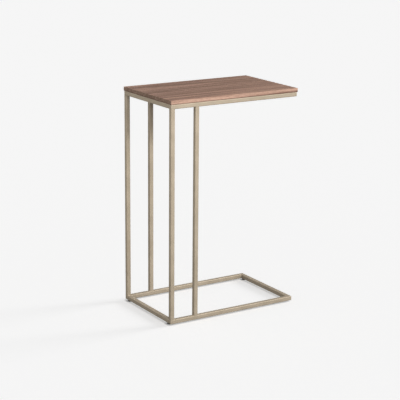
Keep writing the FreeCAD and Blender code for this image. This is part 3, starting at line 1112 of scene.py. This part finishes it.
@dataclass(frozen=True)
class StudioLamp:
    """A soft lamp. A box stands at its place, and a far lamp shines evenly from its direction."""

    name: str
    kind: LampKind
    place: tuple[float, float, float]
    breadth: float
    power: float
    lights_floor: bool = False
    aim: tuple[float, float, float] = (0.0, 0.0, 0.45)
    spread: float = 180.0

    def build(self, unlit: bpy.types.Collection) -> None:
        """Hang the lamp.

        Args:
            unlit: the floor, for a lamp that lights the table alone.
        """
        data = bpy.data.lights.new(self.name, self.kind.value)
        data.energy = self.power
        towards = Vector(self.place)
        if self.kind is LampKind.BOX:
            data.size = self.breadth
            data.spread = math.radians(self.spread)
            towards -= Vector(self.aim)
        else:
            data.angle = math.radians(self.breadth)
        lamp = bpy.data.objects.new(self.name, data)
        lamp.location = self.place
        lamp.rotation_mode = "QUATERNION"
        lamp.rotation_quaternion = towards.to_track_quat("Z", "Y")
        lamp.visible_camera = False
        if not self.lights_floor:
            lamp.light_linking.receiver_collection = unlit
        bpy.context.scene.collection.objects.link(lamp)


@dataclass
class Studio:
    """A pale floor without an edge, a soft pale room and soft lamps. One lamp gives the floor its shadow."""

    ground_tone: float = 0.922
    floor_half: float = 60.0
    floor_colour: float = 0.9
    floor_bounce: float = 0.35
    floor_lift: float = 0.575
    lift_from: tuple[float, float, float] = (0.8, -0.6, 0.0)
    contact_reach: float = 8 * MM
    always_open: float = 0.5
    horizon: float = 0.72
    zenith: float = 0.05
    lamps: tuple[StudioLamp, ...] = (
        StudioLamp("key_lamp", LampKind.FAR, (0.18, -1.0, 0.54), 15.0, 2.54),
        StudioLamp(
            "front_box", LampKind.BOX, (-0.5, -2.0, 1.1), 0.8, 2.15, aim=(-0.1, 0.0, 0.62), spread=45.0,
        ),
        StudioLamp("left_box", LampKind.BOX, (-1.2, 0.1, 0.8), 0.8, 4.7),
        StudioLamp("back_lamp", LampKind.FAR, (0.3, 1.0, 0.17), 16.0, 0.6),
        StudioLamp("shadow_lamp", LampKind.FAR, (0.9, -0.1, 0.35), 20.0, 1.15, lights_floor=True),
    )

    @staticmethod
    def seen(wiring: Wiring) -> Socket:
        """Tell the rays that show a surface, from the camera, a gloss or a clear material, from all others.

        Args:
            wiring: the material's wiring.

        Returns:
            1 for such a ray, and 0 for any other.
        """
        path = wiring.node("LightPath").outputs
        shown = wiring.math("MAXIMUM", path["Is Camera Ray"], path["Is Glossy Ray"])
        return wiring.math("MAXIMUM", shown, path["Is Transmission Ray"])

    def make_room(self) -> None:
        """Make the world: the ground's tone where it shows, and light that changes with height."""
        world = bpy.data.worlds.new("pale_room")
        world.use_nodes = True
        bpy.context.scene.world = world
        wiring = Wiring(world.node_tree)
        direction = wiring.node("TexCoord").outputs["Generated"]
        height = wiring.node("SeparateXYZ", {0: direction}).outputs["Z"]
        light = wiring.ramp(height, 0.0, 1.0, self.horizon, self.zenith)
        level = wiring.mix(self.seen(wiring), light, (self.ground_tone,) * 3)
        wiring.feed(world.node_tree.nodes["Background"].inputs["Color"], level)

    def make_floor(self) -> Object:
        """Make the floor: matt, lifted to the ground's tone where it shows, and clear from below.

        It throws back less light than it shows. The lift stands for light from the front right, so it fades
        where the table stands close by on that side. Half of the ways towards it run below the floor and are
        always open, so the lift is nothing at that share.

        Returns:
            The floor.
        """
        half = self.floor_half
        corners = [(-half, -half, 0.0), (half, -half, 0.0), (half, half, 0.0), (-half, half, 0.0)]
        mesh = bpy.data.meshes.new("floor")
        mesh.from_pydata(corners, [], [(0, 1, 2, 3)])
        material = bpy.data.materials.new("pale_floor")
        material.use_nodes = True
        tree = material.node_tree
        tree.nodes.remove(tree.nodes["Principled BSDF"])
        wiring = Wiring(tree)
        shown = self.seen(wiring)
        colour = wiring.mix(shown, (self.floor_bounce,) * 3, (self.floor_colour,) * 3)
        matt = wiring.node("BsdfDiffuse", {"Color": colour}).outputs[0]
        lift_from = wiring.node("CombineXYZ", dict(enumerate(self.lift_from))).outputs[0]
        near = {"Distance": self.contact_reach, "Normal": lift_from}
        open_share = wiring.node("AmbientOcclusion", near).outputs["AO"]
        feeds = {"Value": open_share, "From Min": self.always_open, "To Max": self.floor_lift}
        lift = wiring.math("MULTIPLY", shown, wiring.node("MapRange", feeds).outputs["Result"])
        glow = wiring.node("Emission", {"Color": (1.0, 1.0, 1.0, 1.0), "Strength": lift}).outputs[0]
        upper = wiring.node("AddShader", {0: matt, 1: glow}).outputs[0]
        below = wiring.node("NewGeometry").outputs["Backfacing"]
        clear = wiring.node("BsdfTransparent").outputs[0]
        both = wiring.node("MixShader", {0: below, 1: upper, 2: clear}).outputs[0]
        wiring.feed(tree.nodes["Material Output"].inputs["Surface"], both)
        mesh.materials.append(material)
        floor = bpy.data.objects.new("floor", mesh)
        bpy.context.scene.collection.objects.link(floor)
        return floor

    def build(self) -> None:
        """Make the stage and set how tones are shown."""
        bpy.context.scene.view_settings.view_transform = "Standard"
        self.make_room()
        floor = self.make_floor()
        unlit = bpy.data.collections.new("lit_by_the_shadow_lamp_alone")
        unlit.objects.link(floor)
        unlit.collection_objects[0].light_linking.link_state = "EXCLUDE"
        for lamp in self.lamps:
            lamp.build(unlit)


@dataclass
class PhotoCamera:
    """The camera at the photograph's viewpoint."""

    place: tuple[float, float, float] = (-1.8785, -2.9401, 1.1993)
    yaw: float = 32.14
    pitch: float = 14.55
    roll: float = 0.49
    focal_pixels: float = 1299.0
    image_side: int = 400
    sensor: float = 36.0
    far_limit: float = 200.0

    def build(self) -> None:
        """Make the camera. It looks yaw degrees right of +Y and pitch degrees down, turned by roll."""
        yaw, pitch, roll = (math.radians(angle) for angle in (self.yaw, self.pitch, self.roll))
        ahead = Vector((math.sin(yaw) * math.cos(pitch), math.cos(yaw) * math.cos(pitch), -math.sin(pitch)))
        level = Vector((math.cos(yaw), -math.sin(yaw), 0.0))
        upright = level.cross(ahead)
        right = level * math.cos(roll) + upright * math.sin(roll)
        up = upright * math.cos(roll) - level * math.sin(roll)
        data = bpy.data.cameras.new("photo_camera")
        data.sensor_width = self.sensor
        data.lens = self.focal_pixels * self.sensor / self.image_side
        data.clip_end = self.far_limit
        camera = bpy.data.objects.new("photo_camera", data)
        turn = Matrix((right, up, -ahead)).transposed()
        camera.matrix_world = Matrix.Translation(self.place) @ turn.to_4x4()
        bpy.context.scene.collection.objects.link(camera)
        bpy.context.scene.camera = camera


def main() -> None:
    """Build the table's looks and the stage."""
    logging.basicConfig(level=logging.INFO, format="%(name)s: %(message)s")
    effects = Effects()
    WoodTop().build(effects)
    coat = TubeFrame().build(effects)
    TopFixings().build(effects, coat)
    LevellingFeet().build(effects)
    Studio().build()
    PhotoCamera().build()


if __name__ == "__main__":
    main()
